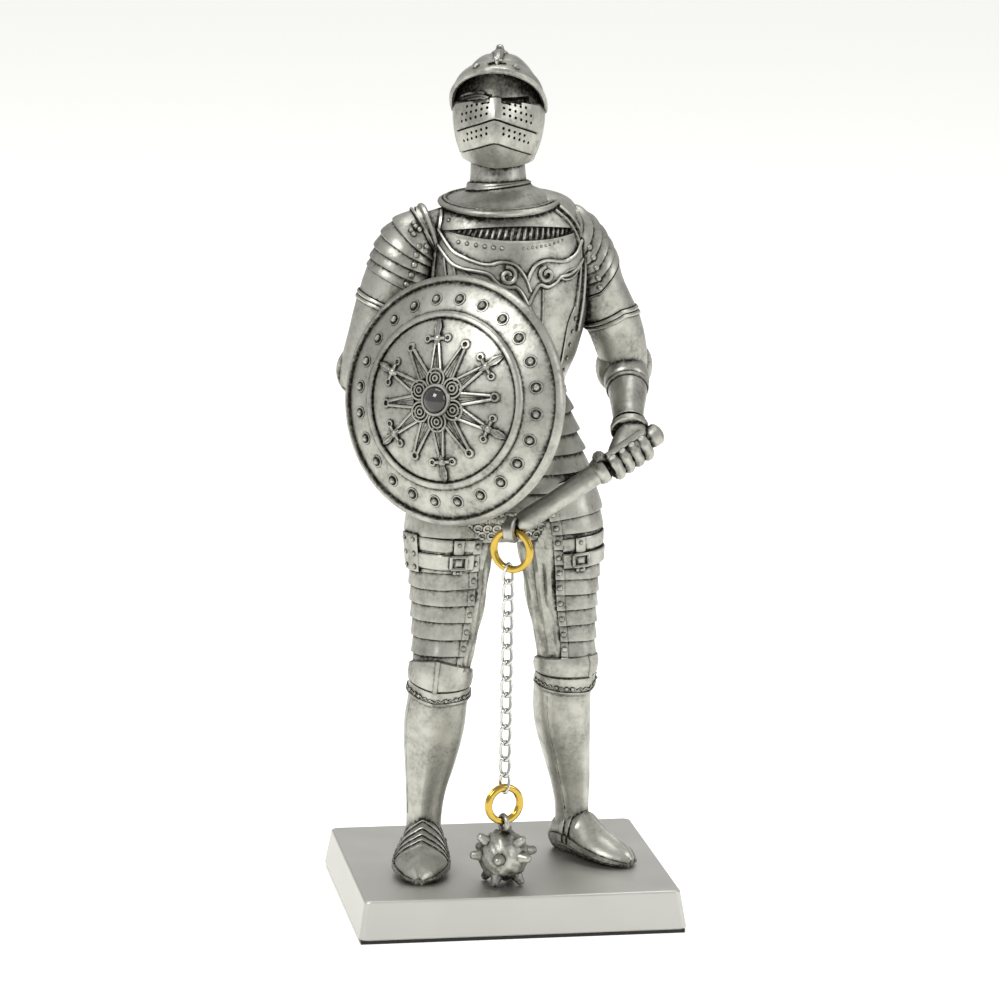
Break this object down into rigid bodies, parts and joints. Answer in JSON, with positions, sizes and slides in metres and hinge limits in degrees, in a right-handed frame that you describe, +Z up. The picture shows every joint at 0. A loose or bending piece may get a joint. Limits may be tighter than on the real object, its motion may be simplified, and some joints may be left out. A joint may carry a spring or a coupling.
{
  "type": "knight statue",
  "caption": "Small cast statue of a standing knight in plate armour with a round shield and a flail on a chain, on a bevelled rectangular plinth.",
  "frame": {"origin": "middle of the underside of the pad", "axes": "+Z up, the knight and the plinth's long front edge face -Y, +X to the right of someone looking at the front"},
  "size_m": [0.0699, 0.0652, 0.1805],
  "materials": {
    "pewter": "antiqued cast pewter, dark in the recesses",
    "polished_pewter": "smooth satin pewter",
    "brass": "bright polished brass wire",
    "chain_steel": "bright nickel plate",
    "dark_stone": "glossy dark cabochon",
    "pad": "thin black felt"
  },
  "bodies": {
    "root": {"base_pad": "pad", "plinth": "polished_pewter", "knight": "pewter", "shield": "pewter", "shield_stone": "dark_stone", "upper_ring": "brass", "chain_link_01": "chain_steel", "chain_link_02": "chain_steel", "chain_link_03": "chain_steel", "chain_link_04": "chain_steel", "chain_link_05": "chain_steel", "chain_link_06": "chain_steel", "chain_link_07": "chain_steel", "chain_link_08": "chain_steel", "chain_link_09": "chain_steel", "chain_link_10": "chain_steel", "chain_link_11": "chain_steel", "chain_link_12": "chain_steel", "chain_link_13": "chain_steel", "chain_link_14": "chain_steel", "lower_ring": "brass", "flail_ball": "pewter"}
  },
  "joints": []
}
